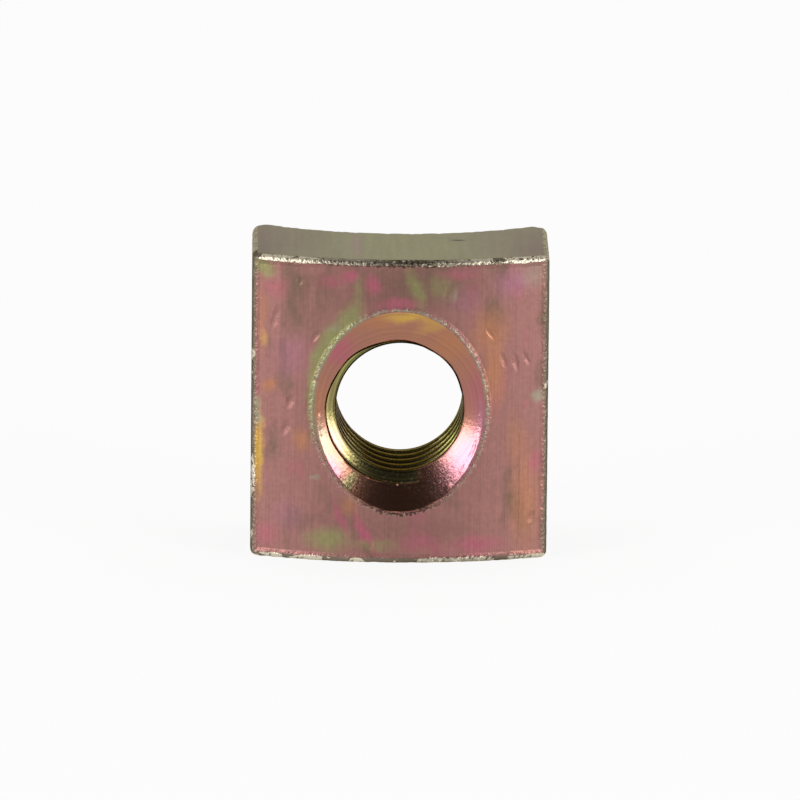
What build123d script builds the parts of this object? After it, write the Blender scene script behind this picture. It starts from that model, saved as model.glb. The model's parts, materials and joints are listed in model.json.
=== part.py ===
from build123d import *
import math
import os

# A curved block nut for a slotted rail: a short length of bent bar, bulging
# at the front and hollow at the back, drilled through its middle, countersunk
# on both sides and tapped M10.
#
# The nut stands on its lower cut end. X runs across it, Y goes from the
# bulging front to the hollow back, and Z runs up along the bar. The origin
# is on the lower end, in the middle of the nut's width and overall depth.
# All sizes are in millimetres.

# The bar
WIDTH = 19.6                # across the two flat sides
HEIGHT = 20.4               # length cut off the bar
WALL = 9.3                  # thickness on the centre line, crest to hollow
FRONT_RADIUS = 24.0         # bulge of the front
BACK_RADIUS = 15.2          # hollow of the back
FRONT_CORNER_RADIUS = 0.45  # long edges beside the front
HORN_RADIUS = 0.9           # long edges beside the hollow
END_EDGE_RADIUS = 0.35      # edges broken round each cut end

# The hole, on the middle of the height
MINOR_DIAMETER = 8.376      # M10 x 1.5, tapped; the thread's crests
COUNTERSINK_DIAMETER = 13.4     # on the front, measured at the crest
COUNTERSINK_ANGLE = 120.0       # included
MOUTH_RADIUS = 0.55             # the countersink's edge, rounded over
BACK_COUNTERSINK_DIAMETER = 10.8    # on the back, measured on the centre line
BACK_COUNTERSINK_ANGLE = 90.0       # included
BACK_MOUTH_RADIUS = 0.15        # its edge, only deburred

CUTTER_RUNOUT = 3.0         # how far the cutters reach past the faces


def overall_depth():
    """Depth from the crest of the front to the tips of the rounded horns."""
    horn_centre_x = WIDTH / 2 - HORN_RADIUS
    hollow_to_horn = BACK_RADIUS + HORN_RADIUS
    drop = math.sqrt(hollow_to_horn ** 2 - horn_centre_x ** 2)
    return WALL + BACK_RADIUS - drop + HORN_RADIUS


CREST_Y = -overall_depth() / 2
HOLLOW_Y = CREST_Y + WALL
MID_HEIGHT = HEIGHT / 2


def bar_section():
    """The bent bar cut across: two arcs bulging forwards, two flat sides."""
    half = WIDTH / 2
    front_sag = FRONT_RADIUS - math.sqrt(FRONT_RADIUS ** 2 - half ** 2)
    back_sag = BACK_RADIUS - math.sqrt(BACK_RADIUS ** 2 - half ** 2)
    front_left = (-half, CREST_Y + front_sag)
    front_right = (half, CREST_Y + front_sag)
    back_right = (half, HOLLOW_Y + back_sag)
    back_left = (-half, HOLLOW_Y + back_sag)
    outline = Curve() + [
        ThreePointArc(front_left, (0, CREST_Y), front_right),
        Line(front_right, back_right),
        ThreePointArc(back_right, (0, HOLLOW_Y), back_left),
        Line(back_left, front_left),
    ]
    section = make_face(outline)
    corners = section.vertices().sort_by(Axis.Y)
    section = fillet(corners[:2], FRONT_CORNER_RADIUS)
    horns = section.vertices().sort_by(Axis.Y)[-2:]
    return fillet(horns, HORN_RADIUS)


def bar_length():
    """The section run up to the nut's height, its cut ends' edges broken."""
    bar = extrude(bar_section(), HEIGHT)
    ends = bar.faces().filter_by(Axis.Z)
    return fillet(ends.edges(), END_EDGE_RADIUS)


def hole_cutter():
    """The tool's shape: bore, front countersink and back countersink."""
    minor = MINOR_DIAMETER / 2
    front_slope = math.tan(math.radians(COUNTERSINK_ANGLE / 2))
    back_slope = math.tan(math.radians(BACK_COUNTERSINK_ANGLE / 2))
    front_mouth = COUNTERSINK_DIAMETER / 2
    back_mouth = BACK_COUNTERSINK_DIAMETER / 2
    wall_start = CREST_Y + (front_mouth - minor) / front_slope
    wall_end = HOLLOW_Y - (back_mouth - minor) / back_slope
    front_end = CREST_Y - CUTTER_RUNOUT
    back_end = -CREST_Y + CUTTER_RUNOUT
    profile = Polyline(
        (0, front_end),
        (front_mouth + CUTTER_RUNOUT * front_slope, front_end),
        (minor, wall_start),
        (minor, wall_end),
        (minor + (back_end - wall_end) * back_slope, back_end),
        (0, back_end),
        close=True,
    )
    cutter = revolve(make_face(profile), Axis.Y)
    return Pos(0, 0, MID_HEIGHT) * cutter


def nut_body():
    """The whole nut, with the edges of its countersinks rounded over."""
    nut = bar_length() - hole_cutter()
    cones = nut.faces().filter_by(GeomType.CONE).sort_by(Axis.Y)
    front_mouth = cones[0].edges().sort_by(SortBy.LENGTH)[-1]
    nut = fillet(front_mouth, MOUTH_RADIUS)
    cones = nut.faces().filter_by(GeomType.CONE).sort_by(Axis.Y)
    back_mouth = cones[-1].edges().sort_by(SortBy.LENGTH)[-1]
    return fillet(back_mouth, BACK_MOUTH_RADIUS)


os.makedirs("parts", exist_ok=True)
export_step(nut_body(), "parts/nut_body.step")
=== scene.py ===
"""A curved block nut for a slotted rail, in zinc plated steel with a yellow chromate film.

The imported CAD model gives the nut's box and its tapped hole. This file makes the nut
again as one fine mesh with its thread cut and its edges worn, gives it its finish,
and sets it on a pale stage.
"""

import json
import math
from functools import partial

import bpy
import bmesh
import numpy as np
from mathutils import Matrix, Vector


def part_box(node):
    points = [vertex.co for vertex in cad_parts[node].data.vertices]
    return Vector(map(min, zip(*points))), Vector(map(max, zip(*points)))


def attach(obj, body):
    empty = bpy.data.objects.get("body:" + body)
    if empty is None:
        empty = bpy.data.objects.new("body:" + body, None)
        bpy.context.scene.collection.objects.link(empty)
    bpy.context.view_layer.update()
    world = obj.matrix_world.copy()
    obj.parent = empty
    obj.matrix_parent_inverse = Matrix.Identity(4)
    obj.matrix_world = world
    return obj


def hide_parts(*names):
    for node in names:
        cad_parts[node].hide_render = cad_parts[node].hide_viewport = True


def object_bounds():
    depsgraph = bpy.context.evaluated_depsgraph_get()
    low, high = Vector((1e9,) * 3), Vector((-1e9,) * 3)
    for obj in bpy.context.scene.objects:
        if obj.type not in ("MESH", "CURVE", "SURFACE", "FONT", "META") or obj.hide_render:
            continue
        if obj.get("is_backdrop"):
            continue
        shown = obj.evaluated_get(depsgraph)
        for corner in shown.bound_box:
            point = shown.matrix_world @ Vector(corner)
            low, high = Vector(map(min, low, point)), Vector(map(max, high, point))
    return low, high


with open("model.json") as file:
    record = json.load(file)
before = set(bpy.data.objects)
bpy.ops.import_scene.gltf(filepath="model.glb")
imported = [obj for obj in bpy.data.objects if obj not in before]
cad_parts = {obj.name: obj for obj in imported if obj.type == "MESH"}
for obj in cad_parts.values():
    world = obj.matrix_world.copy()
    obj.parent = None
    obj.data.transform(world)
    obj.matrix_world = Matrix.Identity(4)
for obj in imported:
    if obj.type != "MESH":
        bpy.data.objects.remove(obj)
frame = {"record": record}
cad_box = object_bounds()

bl_info = {
    "name": "Curved slot nut",
    "version": (1, 0, 0),
    "blender": (4, 5, 0),
    "location": "3D View > Sidebar > Slot Nut",
    "description": "Makes a curved M10 slot nut with its thread, finish and stage",
    "category": "Object",
}

MM = 0.001
NODE = "nut_body"
BODY = "root"

# How finely the mesh is divided
COLUMNS = 400           # round the hole, a multiple of four
FACE_ROWS = 32          # from the front countersink's rim out to the edges
BACK_ROWS = 24          # the same on the hollow back
CORNER_STEPS = 2        # half of a front corner's rounding
HORN_STEPS = 4          # half of a horn's rounding
SIDE_STEPS = 34         # across a flat side
EDGE_STEPS = 5          # over the rounding of a cut end's edge
RIM_STEPS = 5           # over the rounding of a countersink's rim
CONE_STEPS = 9          # down a countersink to the thread
THREAD_STEPS = 16       # along one pitch of the thread

# The three surfaces that take a finish of their own
SKIN, CUT_END, HOLE = range(3)

RIM_SPLIT = 2           # how many of a rim's steps keep the finish of the face
SETTLING_ROUNDS = 60    # more than enough to find a rim's place on a bent face
RIM_REACH = 0.4 * MM    # how far wear counts a rim's rounding as reaching inwards
NOISE = (0.3, 0.7)      # the range that a noise texture mostly keeps to
THROUGH = 1000.0        # mm, so long that an oval goes right through the nut
FAR = 1.0               # an edge too far away to matter, in metres

# Sockets of the Mix and Compare nodes, which go by number because they share their names
SHARE, COLOUR_A, COLOUR_B, COLOUR_OUT = 0, 6, 7, 2
VECTOR_A, VECTOR_B, VECTOR_OUT = 4, 5, 1
WHOLE_A, WHOLE_B = 2, 3

# Middle and half the height of the nut, in mm
MIDDLE = (cad_box[0] + cad_box[1]) / 2 / MM
HALF_HEIGHT = (cad_box[1].z - cad_box[0].z) / 2 / MM

# The stage: angles in degrees, from straight in front and from the horizon, and metres
BOX_SIDE, BOX_HEIGHT = 50, 15
BOX_DISTANCE, BOX_SIZE = 1.3, 0.65
SHADE_HEIGHT, SHADE_INNER, SHADE_OUTER = 50, 26, 44
FLOOR_REACH = 1.2       # from the nut to each side of the floor
FLOOR_WHITE = 0.88      # share of plain white in the floor, and the rest takes the shadow


def mount(name):
    """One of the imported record's mounts, by name."""
    return next(m for m in frame["record"]["mounts"] if m["name"] == name)


def linear(hex_colour):
    """An sRGB hex colour as linear red, green, blue and a full alpha."""
    parts = [int(hex_colour[i:i + 2], 16) / 255 for i in (1, 3, 5)]
    curve = [c / 12.92 if c <= 0.04045 else ((c + 0.055) / 1.055) ** 2.4 for c in parts]
    return (*curve, 1.0)


def length(name, description, default, **limits):
    """A size in metres for the user to change."""
    return bpy.props.FloatProperty(name=name, description=description, default=default,
                                   subtype="DISTANCE", unit="LENGTH", precision=5, **limits)


def colour(name, description, default):
    """A colour for the user to change, given as sRGB hex."""
    return bpy.props.FloatVectorProperty(name=name, description=description, size=4,
                                         default=linear(default), subtype="COLOR",
                                         min=0.0, max=1.0)


class SlotNutSizes(bpy.types.PropertyGroup):
    """The sizes that the nut's box doesn't settle."""

    front_radius: length("Front radius", "Bulge of the front", 24.0 * MM)
    back_radius: length("Back radius", "Hollow of the back", 15.2 * MM)
    wall: length("Wall", "Thickness on the centre line", 9.3 * MM)
    corner_radius: length("Front corner", "Rounding of the long front edges", 0.45 * MM)
    horn_radius: length("Horn", "Rounding of the long back edges", 0.9 * MM)
    end_radius: length("Cut edge", "Rounding round each cut end", 0.35 * MM)
    sink_diameter: length("Countersink", "Front countersink across the crest", 13.4 * MM)
    sink_angle: bpy.props.FloatProperty(
        name="Countersink angle", description="Included angle of the front countersink",
        default=math.radians(120), subtype="ANGLE", unit="ROTATION")
    back_sink_diameter: length("Back countersink", "Back countersink across the centre line",
                               10.8 * MM)
    back_sink_angle: bpy.props.FloatProperty(
        name="Back countersink angle", description="Included angle of the back countersink",
        default=math.radians(90), subtype="ANGLE", unit="ROTATION")
    knock_radius: length("Knocked corner", "Rounding of the ends' corners seen from the front",
                         0.5 * MM)
    rim_radius: length("Rim", "Rounding of the front countersink's rim", 0.55 * MM)
    back_rim_radius: length("Back rim", "Rounding of the back countersink's rim", 0.15 * MM)
    major_diameter: length("Thread diameter", "Outer diameter of the thread", 10.0 * MM)
    pitch: length("Pitch", "Distance from one thread to the next", 1.5 * MM)
    thread_start: bpy.props.FloatProperty(
        name="Thread start", description="Where the first groove meets the front countersink",
        default=math.radians(19), subtype="ANGLE", unit="ROTATION")


class SlotNutFinish(bpy.types.PropertyGroup):
    """The colours of the plating."""

    rose: colour("Rose", "Main colour of the film", "#996D67")
    # Umber is also laid as painted shade across the middle of the front near its top and bottom
    umber: colour("Umber", "Duller, browner parts of the film", "#785F53")
    olive: colour("Olive", "Green patches in the film", "#8C8B5E")
    magenta: colour("Magenta", "Strong pink patches in the film", "#AE5F70")
    violet: colour("Violet", "Bluish pink patches in the film", "#A26C80")
    orange: colour("Orange", "Orange patches in the film", "#AF7858")
    gold: colour("Gold", "Golden patches in the film", "#C8A050")
    pale: colour("Pale", "Thin film, rubbed almost to bare zinc", "#96937E")
    # Edge paints the rounded edges grey-olive: a painted reflection that stands in for their darker
    # look
    edge: colour("Edge", "Film over the rounded edges", "#787162")
    thread_olive: colour("Thread, green", "Green film in the thread", "#7C8050")
    lime: colour("Lime", "Bright green film on one side of the thread", "#A9B060")
    thread_gold: colour("Thread, gold", "Golden film in the thread", "#958056")
    end: colour("Cut end", "Film on the cut ends", "#918C64")
    end_dark: colour("Cut end, dark", "Film towards the corners of the cut ends", "#86765E")
    worn: colour("Worn", "Edges with the film rubbed off", "#D4CAB4")
    # Dark is both dirt and painted shade: it also darkens the middle of the top edge and the lower rim,
    # which look dark by reflection
    soot_and_shade: colour("Dark", "Dirt in nicks and scratches", "#3A2C22")


class SlotNutStage(bpy.types.PropertyGroup):
    """The floor, the light and the camera."""

    floor: colour("Floor", "Floor", "#FFFFFF")
    room_light: bpy.props.FloatProperty(
        name="Room", description="Strength of the even light of the room", default=0.8)
    room_shade: bpy.props.FloatProperty(
        name="Shade", description="Strength of the darker part of the room above the camera",
        default=0.03)
    soft_box: bpy.props.FloatProperty(
        name="Soft boxes", description="Power of each soft box in front", default=7.0,
        subtype="POWER", unit="POWER")
    distance: length("Distance", "From the camera to the front of the nut", 900 * MM)
    lens: bpy.props.FloatProperty(
        name="Lens", description="Focal length of the camera", default=616.0,
        subtype="DISTANCE_CAMERA", unit="CAMERA")
    aim: length("Aim", "Height that the camera looks at, above the hole's axis", 0.85 * MM)
    elevation: bpy.props.FloatProperty(
        name="Elevation", description="Height of the camera above the horizon",
        default=math.radians(12.2), subtype="ANGLE", unit="ROTATION")
    azimuth: bpy.props.FloatProperty(
        name="Azimuth", description="Turn of the camera round the nut",
        default=math.radians(-0.6), subtype="ANGLE", unit="ROTATION")
    roll: bpy.props.FloatProperty(
        name="Roll", description="Turn of the camera about its own view",
        default=math.radians(0.55), subtype="ANGLE", unit="ROTATION")


# ---------------------------------------------------------------- the nut's curves

class NutShape:
    """The nut's curves in metres, worked out from its box and its sizes."""

    def __init__(self, sizes):
        low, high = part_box(NODE)
        self.half_width = (high.x - low.x) / 2
        self.half_height = (high.z - low.z) / 2
        self.mid = (high.z + low.z) / 2
        self.crest = low.y
        self.hollow = low.y + sizes.wall
        self.front = sizes.front_radius
        self.back = sizes.back_radius
        self.end_radius = sizes.end_radius
        self.minor = mount("thread")["dims"]["r_mm"] * MM
        self.major = sizes.major_diameter / 2
        self.pitch = sizes.pitch
        self.thread_start = sizes.thread_start
        self.sink = sizes.sink_diameter / 2
        self.sink_slope = math.tan(sizes.sink_angle / 2)
        self.back_sink = sizes.back_sink_diameter / 2
        self.back_sink_slope = math.tan(sizes.back_sink_angle / 2)
        self.knock_radius = sizes.knock_radius
        self.rim_radius = sizes.rim_radius
        self.back_rim_radius = sizes.back_rim_radius
        # The thread is cut between two circles just outside its own diameter
        self.run = self.major + 0.02 * MM
        self.run_in = self.crest + (self.sink - self.run) / self.sink_slope
        self.run_out = self.hollow - (self.back_sink - self.run) / self.back_sink_slope
        self.corner = self.rounding(sizes.corner_radius, bulged=True)
        self.horn = self.rounding(sizes.horn_radius, bulged=False)

    def rounding(self, radius, bulged):
        """Centre, radius and the two end angles of a long edge's rounding, on the right.

        Angles are those of the outward normal, from +X towards +Y.
        """
        centre_x = self.half_width - radius
        if bulged:
            reach = self.front - radius
            centre_y = self.crest + self.front - math.sqrt(reach ** 2 - centre_x ** 2)
            start = -math.pi / 2 + math.asin(centre_x / reach)
            return centre_x, centre_y, radius, start, 0.0
        reach = self.back + radius
        centre_y = self.hollow + self.back - math.sqrt(reach ** 2 - centre_x ** 2)
        end = math.pi / 2 + math.asin(centre_x / reach)
        return centre_x, centre_y, radius, 0.0, end

    def front_limits(self):
        """Half-lengths along the front's outline: to the rounding, and to its middle."""
        _, _, radius, start, end = self.corner
        arc = self.front * (start + math.pi / 2)
        return arc, arc + radius * (end - start) / 2

    def back_limits(self):
        """The same along the back's outline."""
        _, _, radius, start, end = self.horn
        arc = self.back * (end - math.pi / 2)
        return arc, arc + radius * (end - start) / 2

    def front_outline(self, along):
        """Points and normals in plan, by distance along the front from the centre line."""
        arc, _ = self.front_limits()
        centre_x, centre_y, radius, start, _ = self.corner
        side = np.sign(along)
        reach = np.abs(along)
        turn = np.minimum(reach, arc) / self.front
        angle = np.where(reach <= arc, turn - math.pi / 2, start + (reach - arc) / radius)
        on_arc = reach <= arc
        x = np.where(on_arc, self.front * np.sin(turn), centre_x + radius * np.cos(angle))
        y = np.where(on_arc, self.crest + self.front * (1 - np.cos(turn)),
                     centre_y + radius * np.sin(angle))
        return np.stack([side * x, y], -1), np.stack([side * np.cos(angle), np.sin(angle)], -1)

    def back_outline(self, along):
        """The same along the back."""
        arc, _ = self.back_limits()
        centre_x, centre_y, radius, _, end = self.horn
        side = np.sign(along)
        reach = np.abs(along)
        turn = np.minimum(reach, arc) / self.back
        angle = np.where(reach <= arc, turn + math.pi / 2, end - (reach - arc) / radius)
        on_arc = reach <= arc
        x = np.where(on_arc, self.back * np.sin(turn), centre_x + radius * np.cos(angle))
        y = np.where(on_arc, self.hollow + self.back * (1 - np.cos(turn)),
                     centre_y + radius * np.sin(angle))
        return np.stack([side * x, y], -1), np.stack([side * np.cos(angle), np.sin(angle)], -1)

    def side_outline(self):
        """Points and normals in plan along the right side, between the roundings' middles."""
        points, normals = [], []
        for centre_x, centre_y, radius, start, end, half, steps in (
                (*self.corner, 1, CORNER_STEPS), (*self.horn, 0, HORN_STEPS)):
            middle = (start + end) / 2
            sweep = (middle, end) if half else (start, middle)
            angle = np.linspace(*sweep, steps + 1)
            unit = np.stack([np.cos(angle), np.sin(angle)], -1)
            points.append(np.array([centre_x, centre_y]) + radius * unit)
            normals.append(unit)
        flat = np.linspace(points[0][-1], points[1][0], SIDE_STEPS + 1)[1:-1]
        flat_normals = np.tile([1.0, 0.0], (len(flat), 1))
        return (np.concatenate([points[0], flat, points[1]]),
                np.concatenate([normals[0], flat_normals, normals[1]]))

    def front_depth(self, across):
        """Y of the front, by distance across from the centre line."""
        return self.crest + self.front - np.sqrt(self.front ** 2 - across ** 2)

    def back_depth(self, across):
        """Y of the hollow, by distance across from the centre line."""
        return self.hollow + self.back - np.sqrt(self.back ** 2 - across ** 2)


# ---------------------------------------------------------------- patches of the mesh

class Shell:
    """Grids of points that meet edge to edge, gathered into one mesh."""

    def __init__(self):
        self.points, self.quads, self.zones = [], [], []
        self.edge_gap, self.rim_gap = [], []
        self.count = 0

    def add(self, grid, zone, edge_gap=FAR, rim_gap=FAR, closed=False):
        """Adds a grid of rows and columns; a closed grid joins its last column to its first."""
        rows, columns = grid.shape[:2]
        index = self.count + np.arange(rows * columns).reshape(rows, columns)
        if closed:
            index = np.concatenate([index, index[:, :1]], 1)
        quads = np.stack([index[:-1, :-1], index[:-1, 1:], index[1:, 1:], index[1:, :-1]], -1)
        quads = quads.reshape(-1, 4)
        self.points.append(grid.reshape(-1, 3))
        self.quads.append(quads)
        self.zones.append(np.full(len(quads), zone))
        self.edge_gap.append(np.broadcast_to(edge_gap, (rows, columns)).ravel())
        self.rim_gap.append(np.broadcast_to(rim_gap, (rows, columns)).ravel())
        self.count += rows * columns

    def mesh(self, name, shape):
        """The grids as one mesh, with each point's distance from the nearest edge and rim."""
        mesh = bpy.data.meshes.new(name)
        points = knock_corners(np.concatenate(self.points), shape)
        mesh.from_pydata(points.tolist(), [], np.concatenate(self.quads).tolist())
        for label, values in (("edge_gap", self.edge_gap), ("rim_gap", self.rim_gap)):
            layer = mesh.attributes.new(label, "FLOAT", "POINT")
            layer.data.foreach_set("value", np.concatenate(values).astype(np.float32))
        layer = mesh.attributes.new("zone", "INT", "FACE")
        layer.data.foreach_set("value", np.concatenate(self.zones).astype(np.int32))
        return mesh


def knock_corners(points, shape):
    """Rounds the four corners of the nut as it is seen from the front."""
    radius = shape.knock_radius
    start = np.array([shape.half_width - radius, shape.half_height - radius])
    plan = points[:, [0, 2]] - [0, shape.mid]
    past = np.abs(plan) - start
    reach = np.hypot(*past.T)
    outside = (past.min(1) > 0) & (reach > radius)
    pulled = np.sign(plan) * (start + past * (radius / np.maximum(reach, radius))[:, None])
    points[outside, 0] = pulled[outside, 0]
    points[outside, 2] = pulled[outside, 1] + shape.mid
    return points


def column_angles():
    """The hole's columns, from its lower right diagonal anticlockwise seen from the front."""
    return 2 * math.pi * (np.arange(COLUMNS) / COLUMNS - 1 / 8)


def patch_border(along, upward):
    """Distances along and up a face's border, column by column, in the hole's own order."""
    right = np.stack([np.full(len(upward), along[-1]), upward], -1)
    top = np.stack([along[::-1], np.full(len(along), upward[-1])], -1)
    left = np.stack([np.full(len(upward), along[0]), upward[::-1]], -1)
    bottom = np.stack([along, np.full(len(along), upward[0])], -1)
    return np.concatenate([side[:-1] for side in (right, top, left, bottom)])


def outline_samples(limits, steps):
    """Distances along a face's outline, closer together over its two roundings."""
    arc, end = limits
    flat = np.linspace(-arc, arc, COLUMNS // 4 - 2 * steps + 1)
    turn = np.linspace(arc, end, steps + 1)[1:]
    return np.concatenate([-turn[::-1], flat, turn])


def rim_line(shape, depth, sink, slope, radius, front):
    """Points over a countersink's rounded rim, from the face down to the cone.

    Each column is worked out in its own plane through the hole's axis, as a distance
    from the axis and a Y. Returns them as two arrays of rows and columns.
    """
    angle = column_angles()
    across = np.cos(angle)
    direction = 1 if front else -1
    flat = shape.crest if front else shape.hollow
    # The face bends away from the rim, so the rim's place is worked out until it settles
    corner = np.full(COLUMNS, sink)
    for _ in range(SETTLING_ROUNDS):
        corner = sink - direction * (depth(corner * across) - flat) * slope
    step = 0.001 * MM
    face_slope = (depth((corner + step) * across) - depth(corner * across)) / step
    face_turn = np.arctan(face_slope) * direction
    cone_turn = math.atan(1 / slope)
    tangent = radius * np.tan((face_turn + cone_turn) / 2)
    outer = corner + tangent * np.cos(face_turn)
    inner = corner - tangent * math.cos(cone_turn)
    start = np.stack([outer, depth(outer * across)])
    tip = np.stack([corner, depth(corner * across)])
    end = np.stack([inner, flat + direction * (sink - inner) / slope])
    t = np.linspace(0, 1, RIM_STEPS + 1)[:, None, None]
    curve = (1 - t) ** 2 * start + 2 * t * (1 - t) * tip + t ** 2 * end
    return curve[:, 0], curve[:, 1]


def around(shape, radius, depth):
    """Points round the hole's axis, from their distance from it and their Y."""
    angle = column_angles()
    return np.stack([radius * np.cos(angle), depth + 0 * angle,
                     shape.mid + radius * np.sin(angle)], -1)


def add_face(shell, shape, front):
    """The bulged front or the hollow back, from its rim out to its rounded edges."""
    if front:
        outline, limits, steps = shape.front_outline, shape.front_limits(), CORNER_STEPS
        rim = rim_line(shape, shape.front_depth, shape.sink, shape.sink_slope,
                       shape.rim_radius, True)
        bend, rows, edge = shape.front, FACE_ROWS, limits[0]
    else:
        outline, limits, steps = shape.back_outline, shape.back_limits(), HORN_STEPS
        rim = rim_line(shape, shape.back_depth, shape.back_sink, shape.back_sink_slope,
                       shape.back_rim_radius, False)
        bend, rows, edge = shape.back, BACK_ROWS, limits[1]
    upper = shape.half_height - shape.end_radius
    border = patch_border(outline_samples(limits, steps),
                          np.linspace(-upper, upper, COLUMNS // 4 + 1))
    angle = column_angles()
    rim_across = bend * np.arcsin(rim[0][0] * np.cos(angle) / bend)
    inner = np.stack([rim_across, rim[0][0] * np.sin(angle)], -1)
    # The rows lie closer together towards the edges
    share = np.linspace(0, 1, rows + 1)
    share = (share * (1.25 - 0.25 * share))[:, None, None]
    flat = inner * (1 - share) + border * share
    points, _ = outline(flat[..., 0])
    grid = np.concatenate([points, shape.mid + flat[..., 1:]], -1)
    edge_gap = np.minimum(edge - np.abs(flat[..., 0]), upper - np.abs(flat[..., 1]))
    rim_gap = share[..., 0] * np.linalg.norm(border - inner, axis=-1)
    shell.add(grid, SKIN, np.maximum(edge_gap, 0), rim_gap, closed=True)


def add_countersink(shell, shape, front):
    """A countersink's rounded rim, and its cone down to where the thread is cut."""
    if front:
        radius, depth = rim_line(shape, shape.front_depth, shape.sink, shape.sink_slope,
                                 shape.rim_radius, True)
        foot = shape.run_in
    else:
        radius, depth = rim_line(shape, shape.back_depth, shape.back_sink,
                                 shape.back_sink_slope, shape.back_rim_radius, False)
        foot = shape.run_out
    rim = around(shape, radius, depth)
    inward = np.linspace(0, RIM_REACH, RIM_STEPS + 1)[:, None]
    shell.add(rim[:RIM_SPLIT + 1], SKIN, FAR, inward[:RIM_SPLIT + 1], closed=True)
    shell.add(rim[RIM_SPLIT:], HOLE, FAR, inward[RIM_SPLIT:], closed=True)
    share = np.linspace(0, 1, CONE_STEPS + 1)[:, None]
    cone_radius = radius[-1] * (1 - share) + shape.run * share
    cone_depth = depth[-1] * (1 - share) + foot * share
    rim_gap = np.hypot(cone_radius - radius[-1], cone_depth - depth[-1])
    shell.add(around(shape, cone_radius, cone_depth), HOLE, FAR, rim_gap, closed=True)


def add_sides(shell, shape):
    """The two flat sides, with half of the rounding in front of and behind each."""
    points, _ = shape.side_outline()
    upper = shape.half_height - shape.end_radius
    height = np.linspace(-upper, upper, COLUMNS // 4 + 1)
    front_end, back_end = shape.corner[1], points[-1, 1]
    for side in (1, -1):
        grid = np.empty((len(height), len(points), 3))
        grid[..., 0] = side * points[:, 0]
        grid[..., 1] = points[:, 1]
        grid[..., 2] = shape.mid + height[:, None]
        long_gap = np.minimum(points[:, 1] - front_end, back_end - points[:, 1])
        edge_gap = np.minimum(np.maximum(long_gap, 0), upper - np.abs(height)[:, None])
        shell.add(grid, SKIN, edge_gap)


def add_ends(shell, shape):
    """The two cut ends, with the rounding round them."""
    front_along = outline_samples(shape.front_limits(), CORNER_STEPS)
    back_along = outline_samples(shape.back_limits(), HORN_STEPS)
    front, front_normals = shape.front_outline(front_along)
    back, back_normals = shape.back_outline(back_along)
    right, right_normals = shape.side_outline()
    mirror = np.array([-1.0, 1.0])
    loop = np.concatenate([front[:-1], right[:-1], back[::-1][:-1], (right * mirror)[::-1][:-1]])
    normals = np.concatenate([front_normals[:-1], right_normals[:-1], back_normals[::-1][:-1],
                              (right_normals * mirror)[::-1][:-1]])
    across = np.linspace(0, 1, len(front))[None, :, None]
    deep = np.linspace(0, 1, len(right))[:, None, None]
    radius = shape.end_radius
    front, back = front - radius * front_normals, back - radius * back_normals
    right = right - radius * right_normals
    left = right * mirror
    flat = ((1 - deep) * front[None] + deep * back[None]
            + (1 - across) * left[:, None] + across * right[:, None]
            - (1 - deep) * ((1 - across) * front[0] + across * front[-1])
            - deep * ((1 - across) * back[0] + across * back[-1]))
    inset = loop - radius * normals
    gap = np.linalg.norm(flat[:, :, None] - inset[None, None], axis=-1).min(-1)
    turn = np.linspace(0, math.pi / 2, EDGE_STEPS + 1)[:, None, None]
    for side in (1, -1):
        rounded = loop - radius * (1 - np.cos(turn)) * normals
        height = side * (shape.half_height - radius + radius * np.sin(turn))
        grid = np.concatenate([rounded, shape.mid + height + 0 * rounded[..., :1]], -1)
        shell.add(grid, SKIN, 0.0, closed=True)
        cap = np.concatenate([flat, np.full_like(flat[..., :1],
                                                 shape.mid + side * shape.half_height)], -1)
        shell.add(cap, CUT_END, gap)


def nut_shell(shape):
    """The whole nut but for the tapped part of its hole."""
    shell = Shell()
    for front in (True, False):
        add_face(shell, shape, front)
        add_countersink(shell, shape, front)
    add_sides(shell, shape)
    add_ends(shell, shape)
    return shell.mesh("nut_shell", shape)


# ---------------------------------------------------------------- node trees

def add_node(tree, kind, *values, into=None, **settings):
    """Adds a node with its settings; values fill its inputs in order, and into by name.

    A value may be a node, which stands for its first output.
    """
    node = tree.nodes.new(kind)
    for name, setting in settings.items():
        setattr(node, name, setting)
    for key, value in [*enumerate(values), *(into or {}).items()]:
        if isinstance(value, bpy.types.Node):
            value = value.outputs[0]
        if isinstance(value, bpy.types.NodeSocket):
            tree.links.new(value, node.inputs[key])
        else:
            node.inputs[key].default_value = value
    return node


def geometry_tree(name, inputs):
    """An empty geometry tree with named inputs; returns it with its input node."""
    tree = bpy.data.node_groups.new(name, "GeometryNodeTree")
    tree.interface.new_socket("Geometry", in_out="INPUT", socket_type="NodeSocketGeometry")
    for label, kind in inputs.items():
        tree.interface.new_socket(label, in_out="INPUT", socket_type=kind)
    tree.interface.new_socket("Geometry", in_out="OUTPUT", socket_type="NodeSocketGeometry")
    return tree, add_node(tree, "NodeGroupInput")


THREAD_INPUTS = {
    **dict.fromkeys(("Pitch", "Minor Radius", "Major Radius", "End Radius", "Front End",
                     "Back End", "Front Slope", "Back Slope", "Axis Height",
                     "Groove at Zero", "First Turn", "Turns"), "NodeSocketFloat"),
    **dict.fromkeys(("Columns", "Rows"), "NodeSocketInt"),
}


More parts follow.
